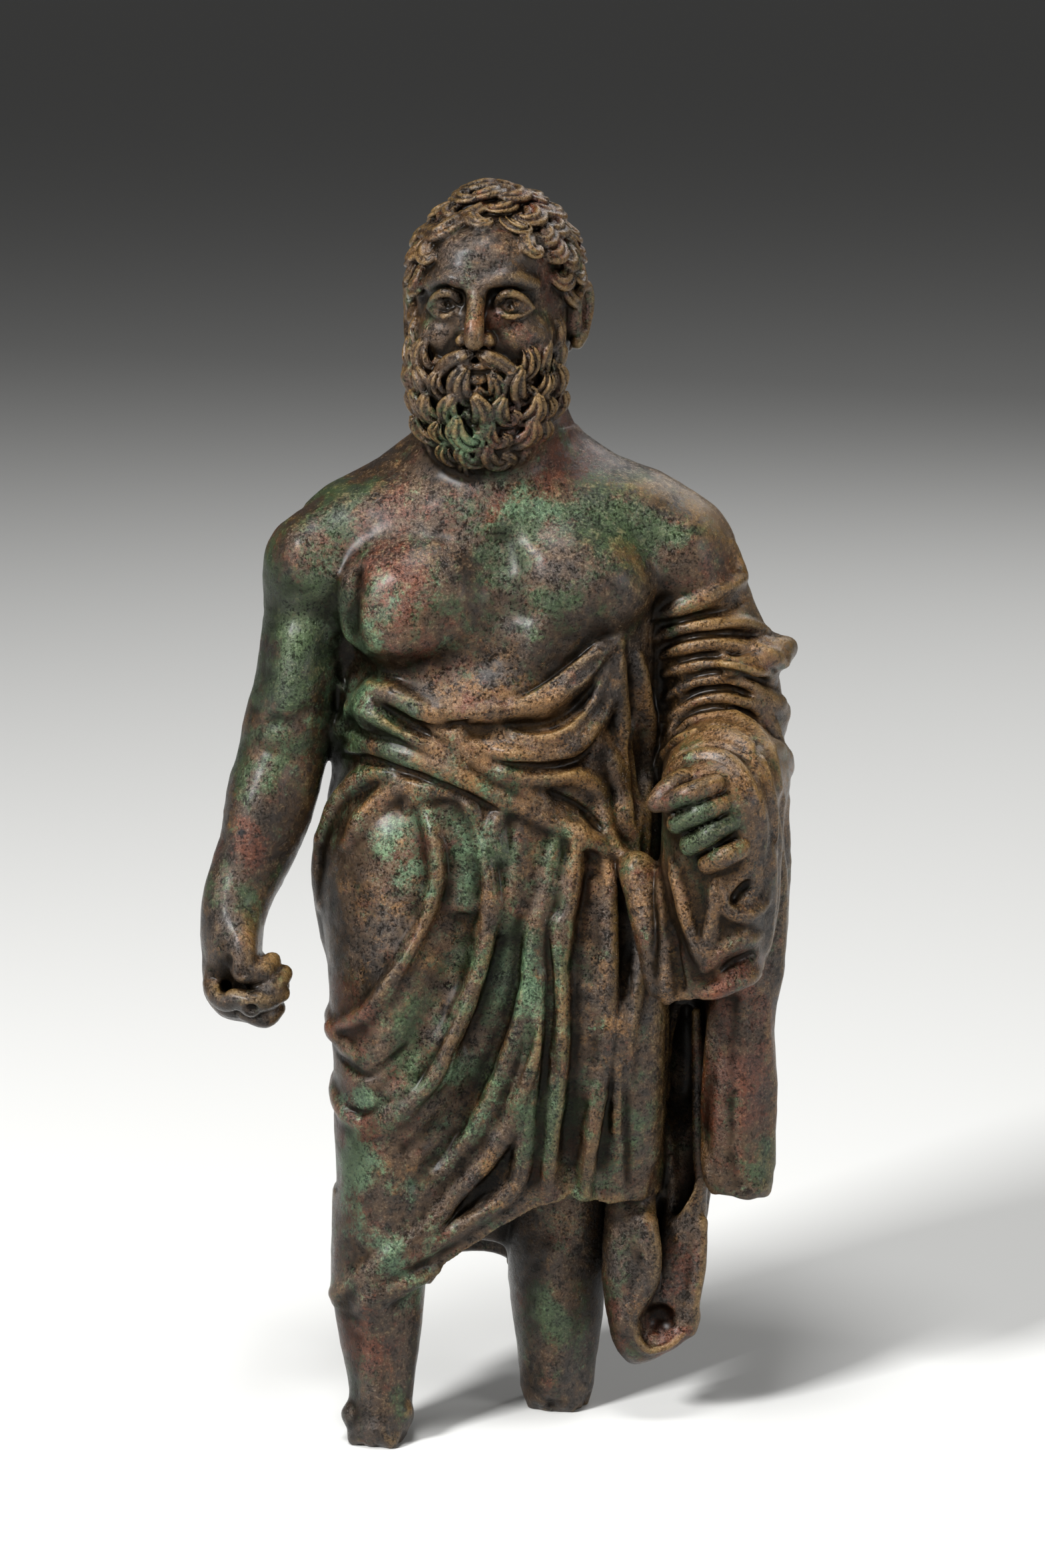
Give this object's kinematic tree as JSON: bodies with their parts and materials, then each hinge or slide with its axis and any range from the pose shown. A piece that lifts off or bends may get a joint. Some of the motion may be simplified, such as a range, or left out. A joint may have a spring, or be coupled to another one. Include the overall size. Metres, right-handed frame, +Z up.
{
  "type": "bronze statuette of a draped hero",
  "caption": "Cast bronze statuette of a standing bearded man in a draped mantle, broken at the shins, resting on its leg stumps.",
  "frame": {"origin": "under the middle of the figure's extents, on the surface that the two leg stumps stand on", "axes": "+Z up through the head, the figure faces -Y, and its own left arm is towards +X"},
  "size_m": [0.0948, 0.0556, 0.2009],
  "materials": {
    "bronze": "green and brown patina, waxed"
  },
  "bodies": {
    "root": {"figure": "bronze"}
  },
  "joints": []
}
